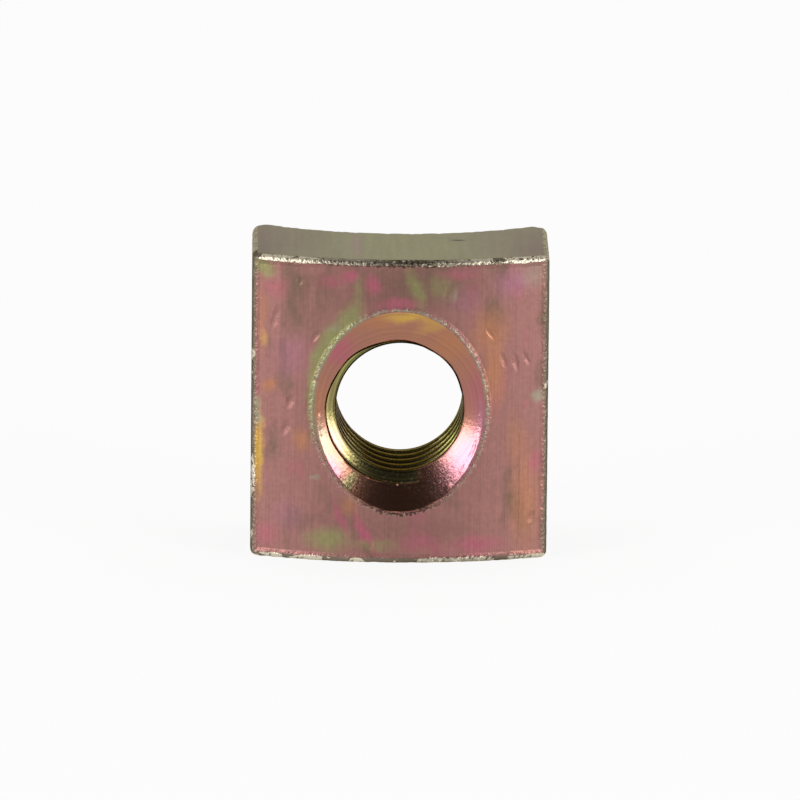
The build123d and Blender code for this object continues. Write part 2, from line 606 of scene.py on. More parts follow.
def thread_tree():
    """Cuts the thread: a wall whose rows follow the helix, joined to the rest of the nut."""
    tree, given = geometry_tree("Tapped hole", THREAD_INPUTS)
    size = given.outputs
    add = partial(add_node, tree)
    grid = add("GeometryNodeMeshGrid", into={
        "Size X": 1.0, "Size Y": 1.0,
        "Vertices X": add("ShaderNodeMath", size["Columns"], 1, operation="ADD"),
        "Vertices Y": add("ShaderNodeMath", size["Rows"], 1, operation="ADD")})
    place = add("ShaderNodeSeparateXYZ", add("GeometryNodeInputPosition")).outputs
    # Turns round the hole from +X, and turns along the helix from its foot
    around_hole = add("ShaderNodeMath", place["X"], 0.5 - 1 / 8, operation="ADD")
    share = add("ShaderNodeMath", place["Y"], 0.5, operation="ADD")
    along = add("ShaderNodeMath", share, size["Turns"], size["First Turn"],
                operation="MULTIPLY_ADD")
    turns_in = add("ShaderNodeMath", along, around_hole, operation="SUBTRACT")
    helix = add("ShaderNodeMath", turns_in, size["Pitch"], size["Groove at Zero"],
                operation="MULTIPLY_ADD")
    depth = add("ShaderNodeClamp", helix, size["Front End"], size["Back End"])
    # The 60 degree form: flanks of 5/16 pitch, an outer flat of 1/8 and an inner one of 1/4
    phase = add("ShaderNodeMath", along, 1.0, operation="FLOORED_MODULO")
    falling = add("ShaderNodeMath", 0.75, phase, operation="SUBTRACT")
    flank = add("ShaderNodeMath", phase, falling, operation="MINIMUM")
    rise = add("ShaderNodeMath", flank, 3.2, operation="MULTIPLY", use_clamp=True)
    form = add("ShaderNodeMapRange", rise, into={
        "To Min": size["Minor Radius"], "To Max": size["Major Radius"]})
    # Where the groove runs out into the two countersinks
    past_front = add("ShaderNodeMath", size["Front End"], depth, operation="SUBTRACT")
    past_back = add("ShaderNodeMath", depth, size["Back End"], operation="SUBTRACT")
    front_cone = add("ShaderNodeMath", past_front, size["Front Slope"], size["End Radius"],
                     operation="MULTIPLY_ADD")
    back_cone = add("ShaderNodeMath", past_back, size["Back Slope"], size["End Radius"],
                    operation="MULTIPLY_ADD")
    cones = add("ShaderNodeMath", front_cone, back_cone, operation="MAXIMUM")
    radius = add("ShaderNodeMath", form, cones, operation="MAXIMUM")
    turn = add("ShaderNodeMath", around_hole, math.tau, operation="MULTIPLY")
    across = add("ShaderNodeMath", turn, operation="COSINE")
    upward = add("ShaderNodeMath", turn, operation="SINE")
    x = add("ShaderNodeMath", across, radius, operation="MULTIPLY")
    z = add("ShaderNodeMath", upward, radius, size["Axis Height"], operation="MULTIPLY_ADD")
    # Marks come first, because the flat grid's own places tell where it goes
    off_cones = add("ShaderNodeMath", radius, cones, operation="SUBTRACT")
    threaded = add("ShaderNodeMapRange", off_cones, 0.0, 0.05 * MM)
    flow = grid
    for label, kind, domain, value in (("edge_gap", "FLOAT", "POINT", FAR),
                                       ("rim_gap", "FLOAT", "POINT", FAR),
                                       ("thread", "FLOAT", "POINT", threaded),
                                       ("zone", "INT", "FACE", HOLE)):
        flow = add("GeometryNodeStoreNamedAttribute", data_type=kind, domain=domain,
                   into={"Geometry": flow, "Name": label, "Value": value})
    wall = add("GeometryNodeSetPosition", into={
        "Geometry": flow, "Position": add("ShaderNodeCombineXYZ", x, depth, z)})
    join = add("GeometryNodeJoinGeometry", wall)
    tree.links.new(size["Geometry"], join.inputs[0])
    merged = add("GeometryNodeMergeByDistance", into={"Geometry": join, "Distance": 0.001 * MM})
    add("NodeGroupOutput", add("GeometryNodeRealizeInstances", merged))
    return tree


def thread_values(shape):
    """What the thread tree is given for this nut.

    The columns go from -1/8 to 7/8 of a turn, so the helix starts and ends that far off.
    """
    groove = (shape.run_in + (shape.run - shape.minor) / shape.sink_slope
              + shape.pitch * shape.thread_start / math.tau)
    first = (shape.run_in - groove) / shape.pitch - 1 / 8
    last = (shape.run_out - groove) / shape.pitch + 7 / 8
    first = math.floor(first * THREAD_STEPS) / THREAD_STEPS
    last = math.ceil(last * THREAD_STEPS) / THREAD_STEPS
    return {
        "Pitch": shape.pitch, "Minor Radius": shape.minor, "Major Radius": shape.major,
        "End Radius": shape.run, "Front End": shape.run_in, "Back End": shape.run_out,
        "Front Slope": shape.sink_slope, "Back Slope": shape.back_sink_slope,
        "Axis Height": shape.mid, "Groove at Zero": groove,
        "First Turn": first, "Turns": last - first,
        "Columns": COLUMNS, "Rows": round((last - first) * THREAD_STEPS),
    }


# How far in from an edge the nicks reach, how big and deep they and the bar's waves are
WEAR = {"Edge Width": 0.3 * MM, "Nick Size": 0.5 * MM, "Nick Depth": 0.05 * MM,
        "Wave Size": 3.0 * MM, "Wave Depth": 0.02 * MM, "Seed": 3.0}

WEAR_INPUTS = {
    **dict.fromkeys(WEAR, "NodeSocketFloat"),
    **dict.fromkeys(("Skin", "Cut End", "Hole"), "NodeSocketMaterial"),
}


def wear_tree():
    """Knocks the edges and rims about, and gives each surface its finish."""
    tree, given = geometry_tree("Worn edges", WEAR_INPUTS)
    size = given.outputs
    add = partial(add_node, tree)
    edge_gap, rim_gap = [add("GeometryNodeInputNamedAttribute", data_type="FLOAT",
                             into={"Name": label}) for label in ("edge_gap", "rim_gap")]
    gap = add("ShaderNodeMath", edge_gap, rim_gap, operation="MINIMUM")
    near = add("ShaderNodeMapRange", gap, interpolation_type="SMOOTHSTEP", into={
        "From Max": size["Edge Width"], "To Min": 1.0, "To Max": 0.0})
    position = add("GeometryNodeInputPosition")
    nick_scale = add("ShaderNodeMath", 1.0, size["Nick Size"], operation="DIVIDE")
    nicks = add("ShaderNodeTexNoise", noise_dimensions="4D", into={
        "Vector": position, "W": size["Seed"], "Detail": 3.0, "Scale": nick_scale})
    bite = add("ShaderNodeMapRange", nicks, 0.45, 0.7, into={"To Max": size["Nick Depth"]})
    wave_scale = add("ShaderNodeMath", 1.0, size["Wave Size"], operation="DIVIDE")
    waves = add("ShaderNodeTexNoise", noise_dimensions="4D", into={
        "Vector": position, "W": size["Seed"], "Detail": 1.0, "Scale": wave_scale})
    wave = add("ShaderNodeMath", waves, size["Wave Depth"], operation="MULTIPLY")
    sunk = add("ShaderNodeMath", bite, near, wave, operation="MULTIPLY_ADD")
    outward = add("ShaderNodeMath", sunk, -1.0, operation="MULTIPLY")
    offset = add("ShaderNodeVectorMath", add("GeometryNodeInputNormal"), operation="SCALE",
                 into={"Scale": outward})
    moved = add("GeometryNodeSetPosition", into={"Geometry": size["Geometry"], "Offset": offset})
    flow = add("GeometryNodeRealizeInstances", moved)
    zone = add("GeometryNodeInputNamedAttribute", data_type="INT", into={"Name": "zone"})
    for label, number in (("Skin", SKIN), ("Cut End", CUT_END), ("Hole", HOLE)):
        chosen = add("FunctionNodeCompare", data_type="INT", operation="EQUAL",
                     into={WHOLE_A: zone, WHOLE_B: number})
        flow = add("GeometryNodeSetMaterial", flow, chosen, size[label])
    add("NodeGroupOutput", flow)
    return tree


def add_tree(piece, tree, values):
    """Puts a geometry tree on a piece and sets its inputs."""
    modifier = piece.modifiers.new(tree.name, "NODES")
    modifier.node_group = tree
    for item in tree.interface.items_tree:
        if item.in_out == "INPUT" and item.name in values:
            modifier[item.identifier] = values[item.name]


def settle(piece):
    """Turns a piece's modifiers into plain mesh, with its faces pointing outwards."""
    seen = piece.evaluated_get(bpy.context.evaluated_depsgraph_get())
    mesh = bpy.data.meshes.new_from_object(seen)
    piece.modifiers.clear()
    form = bmesh.new()
    form.from_mesh(mesh)
    bmesh.ops.recalc_face_normals(form, faces=form.faces)
    form.to_mesh(mesh)
    form.free()
    mesh.shade_smooth()
    piece.data = mesh


# ---------------------------------------------------------------- finishes

# Patches of film on the front, by colour: across and up from the hole's axis, half-width,
# half-height, all in mm, lean in degrees, and strength
FACE_PATCHES = {
    # The first three umber patches, across the middle near the top and the bottom, are painted shade
    "umber": ((1.0, 8.6, 4.6, 1.7, 0, 0.8), (-0.5, 7.0, 3.4, 1.2, 0, 0.4),
              (1.0, -7.9, 4.5, 1.2, 0, 0.35), (-6.2, 6.0, 1.6, 1.6, 0, 0.35)),
    "violet": ((7.4, 8.6, 1.3, 1.0, 0, 0.6), (-7.2, 3.6, 1.2, 1.6, 10, 0.4),
               (-7.4, -7.2, 1.2, 1.2, 0, 0.3), (4.2, 7.4, 1.2, 1.0, 0, 0.3)),
    "orange": ((5.8, 5.3, 1.3, 1.6, 15, 0.65), (6.2, 2.6, 0.7, 2.4, 0, 0.75),
               (8.3, -6.0, 1.0, 3.6, 0, 0.6), (-6.5, -2.1, 0.6, 0.9, 0, 0.7),
               (-8.6, 1.4, 0.6, 0.5, 0, 0.8), (-9.1, 6.0, 0.3, 2.2, 0, 0.45),
               (7.6, -2.0, 0.7, 1.6, 0, 0.4), (-3.3, -6.4, 0.6, 0.8, -20, 0.55)),
    "magenta": ((-3.3, 9.1, 0.6, 0.5, 0, 0.95), (-1.8, 8.6, 0.5, 0.7, -20, 0.9),
                (-0.1, 7.2, 1.5, 0.4, 0, 0.75), (-2.2, -8.3, 0.35, 1.6, -28, 0.95),
                (-3.9, -7.2, 0.3, 1.4, -20, 0.7), (1.2, -8.7, 1.1, 0.7, 0, 0.5),
                (5.2, -9.0, 1.7, 0.6, 0, 0.65), (9.0, -3.6, 0.4, 0.8, 0, 0.6),
                (3.5, 9.2, 1.2, 0.4, 0, 0.5), (-8.2, 8.0, 0.8, 0.8, 0, 0.4),
                (-8.7, -8.6, 0.7, 0.8, 0, 0.5), (-4.6, 8.7, 0.9, 0.5, 0, 0.5)),
    "olive": ((-9.0, 9.3, 0.9, 0.6, 30, 0.9), (1.0, 8.3, 0.45, 1.5, -18, 0.8),
              (2.6, 8.4, 0.9, 0.9, 0, 0.5), (-3.2, 6.2, 0.8, 1.1, 30, 0.9),
              (-4.3, 5.0, 0.8, 1.4, 35, 1.0), (-5.2, 3.6, 0.6, 1.4, 25, 0.95),
              (-5.7, 1.0, 0.4, 2.8, 0, 0.9), (-4.7, -8.7, 1.5, 0.8, 0, 0.85),
              (-1.6, -9.0, 1.5, 0.4, 0, 0.5), (-2.7, 8.0, 0.35, 1.2, 0, 0.5)),
    "gold": ((-9.3, -3.0, 0.35, 3.0, 0, 0.95), (-8.9, 4.6, 0.3, 0.6, 0, 0.4)),
    "pale": ((-9.4, -0.3, 0.3, 1.0, 0, 0.9), (9.1, 0.9, 0.45, 0.5, 0, 0.8),
             (3.5, 7.9, 0.2, 0.6, 25, 0.4), (8.7, 9.0, 1.0, 0.9, 0, 0.35),
             (-5.6, -4.6, 0.3, 0.2, 0, 0.6), (-4.4, 5.6, 0.2, 0.4, 35, 0.4)),
}

# Small dents in the front: across and up from the hole's axis, half-width, half-length,
# all in mm, lean in degrees, and depth in mm
DENTS = ((-8.2, 6.1, 0.20, 0.65, 12, 0.035), (-5.6, 4.9, 0.18, 0.35, 35, 0.035),
         (-7.2, 0.5, 0.22, 0.40, 20, 0.042), (-7.5, -1.3, 0.22, 0.45, 15, 0.035),
         (6.8, 3.4, 0.16, 0.45, -20, 0.035), (7.6, 3.2, 0.18, 0.50, -10, 0.042),
         (8.3, 3.4, 0.14, 0.40, -25, 0.035), (8.7, -7.3, 0.20, 0.35, 20, 0.035),
         (5.9, 5.2, 0.14, 0.45, -30, 0.028), (-6.6, 8.6, 0.16, 0.30, 10, 0.028),
         (3.1, 8.2, 0.18, 0.55, 25, 0.028), (-1.8, -8.9, 0.16, 0.2, 10, 0.028),
         (7.9, -5.5, 0.035, 3.6, 0, 0.021), (8.5, -4.6, 0.04, 1.0, 0, 0.014))

# Stretches of the end edges and of the hole's rim painted dark: dirt, and painted shade at the
# middle of the top edge and under the hole, where they look dark by reflection. Placed as the
# dents are, with a strength last
DIRT_AND_SHADE_EDGES = ((0.4, 10.2, 4.6, 1.2, 0, 0.85), (3.8, -10.2, 5.0, 0.8, 0, 0.5),
               (-4.5, 10.2, 1.6, 1.0, 0, 0.5), (0.5, -6.9, 4.2, 1.2, 0, 0.8))

# Patches of film in the thread, and the scuffed place at its start, placed the same way
THREAD_PATCHES = {
    "lime": ((4.4, -2.4, 1.1, 2.2, 25, 1.1), (-3.4, 3.0, 0.8, 1.6, 40, 0.4)),
    "violet": ((-4.3, -2.2, 0.5, 1.4, -25, 0.5),),
}
SCUFF = (0.3, -4.9, 3.4, 0.9, 0, 0.7)

# Marks on the cut ends: colour, middle and reach across and deep in mm, and strength
END_MARKS = (("violet", (-2.9, -1.0), (0.45, 5.0), 0.30), ("soot_and_shade", (3.8, 0.9), (0.5, 0.22), 1.0),
             ("umber", (3.0, 1.6), (0.9, 0.10), 0.4), ("umber", (-9.2, -1.0), (1.4, 5.0), 0.35),
             ("umber", (9.0, -2.0), (1.2, 4.0), 0.35))

# Patches of film on the countersink, placed the same way
CONE_PATCHES = {
    "gold": ((0.6, 6.4, 2.3, 0.5, 0, 0.95), (2.3, 5.8, 1.4, 0.5, -25, 0.5)),
    "orange": ((3.8, 4.9, 1.9, 1.2, -50, 0.8), (-1.8, 6.0, 1.6, 0.6, 20, 0.7)),
    "magenta": ((-4.2, 4.2, 1.5, 1.1, 45, 0.75), (5.2, 1.2, 0.9, 2.4, 0, 0.5)),
    "violet": ((4.4, -3.4, 1.6, 2.6, 40, 0.8), (-4.6, -4.0, 0.8, 1.5, -40, 0.7),
               (5.7, -0.6, 0.8, 1.6, 0, 0.7)),
    "olive": ((-3.5, -5.1, 1.3, 0.5, -45, 0.9),),
    "pale": ((-5.4, -1.9, 0.8, 1.5, -10, 0.6),),
}


def new_material(name, **settings):
    """An empty metal; returns it with its tree, its shader and the place in mm."""
    material = bpy.data.materials.new(name)
    material.use_nodes = True
    tree = material.node_tree
    tree.nodes.clear()
    shader = add_node(tree, "ShaderNodeBsdfPrincipled", into={"Metallic": 1.0, **settings})
    add_node(tree, "ShaderNodeOutputMaterial", shader)
    place = add_node(tree, "ShaderNodeTexCoord").outputs["Object"]
    scale = add_node(tree, "ShaderNodeVectorMath", place, operation="SCALE",
                     into={"Scale": 1 / MM})
    return material, tree, shader, scale


def add_spot(tree, place, spot):
    """How far a point is inside a leaning oval on the front: 1 at its middle, 0 outside."""
    across, up, half_width, half_length, lean = spot[:5]
    local = add_node(tree, "ShaderNodeMapping", place, vector_type="TEXTURE", into={
        "Location": (across, 0, MIDDLE.z + up),
        "Rotation": (0, math.radians(lean), 0), "Scale": (half_width, THROUGH, half_length)})
    reach = add_node(tree, "ShaderNodeVectorMath", local, operation="LENGTH")
    return add_node(tree, "ShaderNodeMapRange", reach.outputs["Value"], 1.5, 0.1,
                    interpolation_type="SMOOTHSTEP")


def turned_behind(tree, place):
    """The place, but turned upside down behind the nut's middle, so the back differs."""
    turned = add_node(tree, "ShaderNodeVectorMath", (2 * MIDDLE.x, 0, 2 * MIDDLE.z), place,
                      operation="SUBTRACT")
    depth = add_node(tree, "ShaderNodeSeparateXYZ", place).outputs["Y"]
    behind = add_node(tree, "ShaderNodeMath", depth, MIDDLE.y, operation="GREATER_THAN")
    return add_node(tree, "ShaderNodeMix", data_type="VECTOR", into={
        SHARE: behind, VECTOR_A: place, VECTOR_B: turned}).outputs[VECTOR_OUT]


def add_film(tree, place, base, finish, patches):
    """Lays patches of film of other colours over a base colour.

    Their borders wander by about 0.5 mm, in bays about 1 mm wide.
    """
    ragged = add_node(tree, "ShaderNodeTexNoise", place, into={"Scale": 1 / 1.3, "Detail": 5.0,
                                                             "Roughness": 0.65})
    drift = add_node(tree, "ShaderNodeVectorMath", ragged.outputs["Color"], (0.5, 0.5, 0.5),
                     operation="SUBTRACT")
    moved = add_node(tree, "ShaderNodeVectorMath", drift, (1.1, 1.1, 1.1), place,
                     operation="MULTIPLY_ADD")
    film = base
    for name, spots in patches.items():
        for spot in spots:
            inside = add_spot(tree, moved, spot)
            share = add_node(tree, "ShaderNodeMath", inside, spot[-1], operation="MULTIPLY")
            film = add_node(tree, "ShaderNodeMix", data_type="RGBA", into={
                SHARE: share, COLOUR_A: film, COLOUR_B: getattr(finish, name)}).outputs[COLOUR_OUT]
    return film


def drawn_skin(finish):
    """Drawn steel bar, zinc plated and yellow chromated.

    The bar's drawing lines show through the film as fine upright streaks. The film is so
    thin that it turns from rose to green, pink and gold with its thickness. It is rubbed
    off on the edges, and pale and rough where the countersink's burr was.
    """
    material, tree, shader, place = new_material("zinc_chromate_drawn_skin", **{
        "Specular Tint": finish.pale})
    add = partial(add_node, tree)
    # Drawing lines, about 0.1 mm apart and many mm long
    stretched = add("ShaderNodeMapping", place, into={"Scale": (9.0, 9.0, 0.16)})
    lines = add("ShaderNodeTexNoise", stretched, into={"Scale": 1.0, "Detail": 3.0,
                                                       "Roughness": 0.65})
    # Clouds of thicker and thinner film, about 3 mm across, and its fine mottle
    upright_clouds = add("ShaderNodeMapping", place, into={"Scale": (1.0, 1.0, 0.5)})
    clouds = add("ShaderNodeTexNoise", upright_clouds, into={"Scale": 1 / 2.2, "Detail": 3.0,
                                                             "Roughness": 0.5})
    mottle = add("ShaderNodeTexNoise", place, into={"Scale": 1 / 0.35, "Detail": 3.0,
                                                    "Roughness": 0.6})
    tint = add("ShaderNodeValToRGB", clouds)
    ramp = tint.color_ramp
    ramp.elements[0].position, ramp.elements[0].color = 0.22, finish.olive
    ramp.elements[1].position, ramp.elements[1].color = 0.30, finish.umber
    for at, shade in ((0.47, finish.rose), (0.60, finish.rose), (0.95, finish.magenta)):
        ramp.elements.new(at).color = shade
    faced = turned_behind(tree, place)
    film = add_film(tree, faced, tint, finish, FACE_PATCHES)
    # Streaks and mottle lighten and darken the film a little
    streak = add("ShaderNodeMapRange", lines, *NOISE, 0.89, 1.03)
    speck = add("ShaderNodeMapRange", mottle, *NOISE, 0.93, 1.07)
    level = add("ShaderNodeMath", streak, speck, operation="MULTIPLY")
    film = add("ShaderNodeVectorMath", film, operation="SCALE", into={"Scale": level})
    # The pale ring round the countersinks and the rubbed edges, both broken up
    rim_gap = add("ShaderNodeAttribute", attribute_name="rim_gap").outputs["Fac"]
    edge_gap = add("ShaderNodeAttribute", attribute_name="edge_gap").outputs["Fac"]
    grit = add("ShaderNodeTexNoise", place, into={"Scale": 1 / 0.22, "Detail": 2.0})
    ring_width = add("ShaderNodeMapRange", grit, 0.35, 0.7, 0.03 * MM, 0.30 * MM)
    ring_reach = add("ShaderNodeMath", rim_gap, ring_width, operation="DIVIDE")
    broken_ring = add("ShaderNodeMapRange", grit, 0.35, 0.6, 0.25, 0.85)
    ring = add("ShaderNodeMapRange", ring_reach, 0.2, 1.2, broken_ring, 0.0)
    upright = add("ShaderNodeSeparateXYZ", place).outputs["Z"]
    from_middle = add("ShaderNodeMath", upright, MIDDLE.z, operation="SUBTRACT")
    # The pale ring is painted fainter below the hole: painted shade over the lower rim
    ring_painted_shade = add("ShaderNodeMapRange", from_middle, -6.0, 2.0, 0.3, 1.0)
    ring = add("ShaderNodeMath", ring, ring_painted_shade, operation="MULTIPLY")
    film = add("ShaderNodeMix", data_type="RGBA", into={
        SHARE: ring, COLOUR_A: film, COLOUR_B: finish.pale}).outputs[COLOUR_OUT]
    # The rounded edges are painted grey-olive, a painted reflection that stands in for their darker
    # look
    edge_painted_shade = add("ShaderNodeMapRange", edge_gap, 0.0, 0.06 * MM, 0.85, 0.0)
    film = add("ShaderNodeMix", data_type="RGBA", into={
        SHARE: edge_painted_shade, COLOUR_A: film, COLOUR_B: finish.edge}).outputs[COLOUR_OUT]
    # Bare bits come in runs: long ones along the top, few and short up the sides
    runs = add("ShaderNodeTexNoise", place, into={"Scale": 1 / 2.2, "Detail": 2.0})
    at_top = add("ShaderNodeMapRange", from_middle, HALF_HEIGHT - 0.5, HALF_HEIGHT - 0.3,
                 -0.22, 0.05)
    at_bottom = add("ShaderNodeMapRange", from_middle, 0.5 - HALF_HEIGHT, 0.3 - HALF_HEIGHT,
                    0.0, 0.16)
    amount = add("ShaderNodeMath", runs, at_top, operation="ADD")
    amount = add("ShaderNodeMath", amount, at_bottom, operation="ADD")
    edge_width = add("ShaderNodeMapRange", amount, 0.42, 0.60, 0.0, 0.16 * MM)
    bitten = add("ShaderNodeMapRange", grit, 0.40, 0.60)
    bare_width = add("ShaderNodeMath", edge_width, bitten, operation="MULTIPLY")
    rubbed = add("ShaderNodeMath", edge_gap, bare_width, operation="LESS_THAN")
    film = add("ShaderNodeMix", data_type="RGBA", into={
        SHARE: rubbed, COLOUR_A: film, COLOUR_B: finish.worn}).outputs[COLOUR_OUT]
    # Dark film is painted in the bitten edges at the middle of both ends and under the hole: dirt,
    # and painted shade where the middle of the top edge and the lower rim look dark by reflection
    dirt_and_shade_width = add("ShaderNodeMapRange", grit, 0.40, 0.62, 0.18 * MM, 0.0)
    gap = add("ShaderNodeMath", edge_gap, rim_gap, operation="MINIMUM")
    dirt_and_shade = add("ShaderNodeMath", gap, dirt_and_shade_width, operation="LESS_THAN")
    for spot in DIRT_AND_SHADE_EDGES:
        inside = add_spot(tree, place, spot)
        soot_and_shade = add("ShaderNodeMath", inside, spot[-1], operation="MULTIPLY")
        soot_and_shade = add("ShaderNodeMath", soot_and_shade, dirt_and_shade, operation="MULTIPLY")
        film = add("ShaderNodeMix", data_type="RGBA", into={
            SHARE: soot_and_shade, COLOUR_A: film, COLOUR_B: finish.soot_and_shade}).outputs[COLOUR_OUT]
    tree.links.new(film, shader.inputs["Base Color"])
    tree.links.new(add("ShaderNodeMapRange", lines, *NOISE, 0.34, 0.46).outputs[0],
                   shader.inputs["Roughness"])
    # Relief in mm: lines, mottle and dents, and broken edges
    relief = add("ShaderNodeMath", lines, 0.008, operation="MULTIPLY")
    relief = add("ShaderNodeMath", mottle, 0.008, relief, operation="MULTIPLY_ADD")
    wobble = add("ShaderNodeTexNoise", place, into={"Scale": 1 / 0.5, "Detail": 2.0})
    drift = add("ShaderNodeVectorMath", wobble.outputs["Color"], (0.25, 0.0, 0.25), faced,
                operation="MULTIPLY_ADD")
    centred = add("ShaderNodeVectorMath", drift, (0.125, 0.0, 0.125), operation="SUBTRACT")
    for dent in DENTS:
        inside = add_spot(tree, centred, dent)
        relief = add("ShaderNodeMath", inside, -dent[-1], relief, operation="MULTIPLY_ADD")
    near = add("ShaderNodeMapRange", gap, 0.0, 0.3 * MM, 1.0, 0.0)
    broken = add("ShaderNodeMath", grit, near, operation="MULTIPLY")
    relief = add("ShaderNodeMath", broken, 0.10, relief, operation="MULTIPLY_ADD")
    bump = add("ShaderNodeBump", into={"Height": relief, "Distance": MM})
    tree.links.new(bump.outputs[0], shader.inputs["Normal"])
    return material


def cut_end(finish):
    """Cut end of the bar under the same film: even, matt and khaki, browner at its corners.

    The cut left faint lines from front to back, which the film shows as streaks.
    """
    material, tree, shader, place = new_material("zinc_chromate_cut_end", Roughness=0.5)
    add = partial(add_node, tree)
    grain = add("ShaderNodeTexNoise", place, into={"Scale": 1 / 0.3, "Detail": 4.0})
    soft = add("ShaderNodeTexNoise", place, into={"Scale": 1 / 3.0, "Detail": 2.0})
    # Cutting lines, about 0.4 mm apart
    stretched = add("ShaderNodeMapping", place, into={"Scale": (2.5, 0.12, 1.0)})
    lines = add("ShaderNodeTexNoise", stretched, into={"Scale": 1.0, "Detail": 3.0})
    across = add("ShaderNodeSeparateXYZ", place).outputs["X"]
    outward = add("ShaderNodeMath", across, operation="ABSOLUTE")
    wavy = add("ShaderNodeMath", soft, 5.0, outward, operation="MULTIPLY_ADD")
    corner = add("ShaderNodeMapRange", wavy, 5.0, 12.0)
    film = add("ShaderNodeMix", data_type="RGBA", into={
        SHARE: corner, COLOUR_A: finish.end, COLOUR_B: finish.end_dark}).outputs[COLOUR_OUT]
    for name, middle, reach, strength in END_MARKS:
        local = add("ShaderNodeMapping", place, vector_type="TEXTURE", into={
            "Location": (*middle, 0), "Scale": (*reach, THROUGH)})
        inside = add("ShaderNodeVectorMath", local, operation="LENGTH").outputs["Value"]
        share = add("ShaderNodeMapRange", inside, 1.4, 0.3, 0.0, strength)
        film = add("ShaderNodeMix", data_type="RGBA", into={
            SHARE: share, COLOUR_A: film, COLOUR_B: getattr(finish, name)}).outputs[COLOUR_OUT]
    speck = add("ShaderNodeMapRange", grain, *NOISE, 0.93, 1.07)
    streak = add("ShaderNodeMapRange", lines, *NOISE, 0.94, 1.06)
    level = add("ShaderNodeMath", speck, streak, operation="MULTIPLY")
    film = add("ShaderNodeVectorMath", film, operation="SCALE", into={"Scale": level})
    tree.links.new(film.outputs[0], shader.inputs["Base Color"])
    relief = add("ShaderNodeMath", grain, 0.008, operation="MULTIPLY")
    relief = add("ShaderNodeMath", lines, 0.010, relief, operation="MULTIPLY_ADD")
    bump = add("ShaderNodeBump", into={"Height": relief, "Distance": MM})
    tree.links.new(bump.outputs[0], shader.inputs["Normal"])
    return material


def cut_hole(finish):
    """Turned countersink and cut thread under the film: smooth, gold to rose."""
    material, tree, shader, place = new_material(
        "zinc_chromate_cut_hole", Roughness=0.22, **{"Specular Tint": finish.thread_gold})
    add = partial(add_node, tree)
    clouds = add("ShaderNodeTexNoise", place, into={"Scale": 1 / 3.0, "Detail": 3.0})
    tint = add("ShaderNodeMix", data_type="RGBA", into={
        SHARE: clouds, COLOUR_A: finish.rose, COLOUR_B: finish.orange}).outputs[COLOUR_OUT]
    cone = add_film(tree, place, tint, finish, CONE_PATCHES)
    threaded = add("ShaderNodeAttribute", attribute_name="thread").outputs["Fac"]
    thread_tint = add("ShaderNodeMix", data_type="RGBA", into={
        SHARE: clouds, COLOUR_A: finish.thread_olive, COLOUR_B: finish.thread_gold}).outputs[COLOUR_OUT]
    thread_tint = add_film(tree, place, thread_tint, finish, THREAD_PATCHES)
    film = add("ShaderNodeMix", data_type="RGBA", into={
        SHARE: threaded, COLOUR_A: cone, COLOUR_B: thread_tint}).outputs[COLOUR_OUT]
    # Scuffed where the first thread breaks out of the countersink
    grit = add("ShaderNodeTexNoise", place, into={"Scale": 1 / 0.2, "Detail": 3.0})
    scuffed = add_spot(tree, place, SCUFF)
    chipped = add("ShaderNodeMapRange", grit, 0.60, 0.64)
    share = add("ShaderNodeMath", scuffed, chipped, operation="MULTIPLY")
    share = add("ShaderNodeMath", share, SCUFF[-1], operation="MULTIPLY")
    film = add("ShaderNodeMix", data_type="RGBA", into={
        SHARE: share, COLOUR_A: film, COLOUR_B: finish.worn}).outputs[COLOUR_OUT]
    # Rings left by the countersink and the tap, drawn coarse, about 0.2 mm apart, to show
    from_axis = add("ShaderNodeVectorMath", place, MIDDLE, operation="SUBTRACT")
    flat = add("ShaderNodeVectorMath", from_axis, (1, 0, 1), operation="MULTIPLY")
    radius = add("ShaderNodeVectorMath", flat, operation="LENGTH").outputs["Value"]
    uneven = add("ShaderNodeMath", clouds, 0.3, radius, operation="MULTIPLY_ADD")
    rings = add("ShaderNodeTexNoise", noise_dimensions="1D", into={
        "W": uneven, "Scale": 1 / 0.2, "Detail": 2.0})
    depth = add("ShaderNodeMapRange", threaded, 0.0, 1.0, 0.06, 0.60)
    swing = add("ShaderNodeMapRange", rings, *NOISE, -1.0, 1.0)
    level = add("ShaderNodeMath", swing, depth, 1.0, operation="MULTIPLY_ADD")
    film = add("ShaderNodeVectorMath", film, operation="SCALE", into={"Scale": level})
    tree.links.new(film.outputs[0], shader.inputs["Base Color"])
    relief = add("ShaderNodeMath", grit, 0.012, operation="MULTIPLY")
    relief = add("ShaderNodeMath", rings, 0.010, relief, operation="MULTIPLY_ADD")
    bump = add("ShaderNodeBump", into={"Height": relief, "Distance": MM})
    tree.links.new(bump.outputs[0], shader.inputs["Normal"])
    return material


# ---------------------------------------------------------------- operators

class SLOTNUT_OT_nut(bpy.types.Operator):
    """Make the nut with its thread, worn edges and finish"""

    bl_idname = "slot_nut.make_nut"
    bl_label = "Nut"

    def execute(self, context):
        scene = context.scene
        shape = NutShape(scene.slot_nut_sizes)
        finish = scene.slot_nut_finish
        piece = bpy.data.objects.new("nut", nut_shell(shape))
        scene.collection.objects.link(piece)
        add_tree(piece, thread_tree(), thread_values(shape))
        settle(piece)
        add_tree(piece, wear_tree(), {
            **WEAR, "Skin": drawn_skin(finish), "Cut End": cut_end(finish),
            "Hole": cut_hole(finish)})
        settle(piece)
        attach(piece, BODY)
        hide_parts(NODE)
        return {"FINISHED"}


def direction(azimuth, elevation):
    """Unit vector towards a point of the room; azimuth 0 is in front, 90 to the right."""
    return Vector((math.sin(azimuth) * math.cos(elevation),
                   -math.cos(azimuth) * math.cos(elevation), math.sin(elevation)))


def add_soft_box(name, place, target, size, power):
    """A square area lamp that faces a point."""
    lamp = bpy.data.lights.new(name, "AREA")
    lamp.shape = "SQUARE"
    lamp.size = size
    lamp.energy = power
    piece = bpy.data.objects.new(name, lamp)
    piece.location = place
    piece.rotation_euler = (target - place).to_track_quat("-Z", "Y").to_euler()
    bpy.context.scene.collection.objects.link(piece)


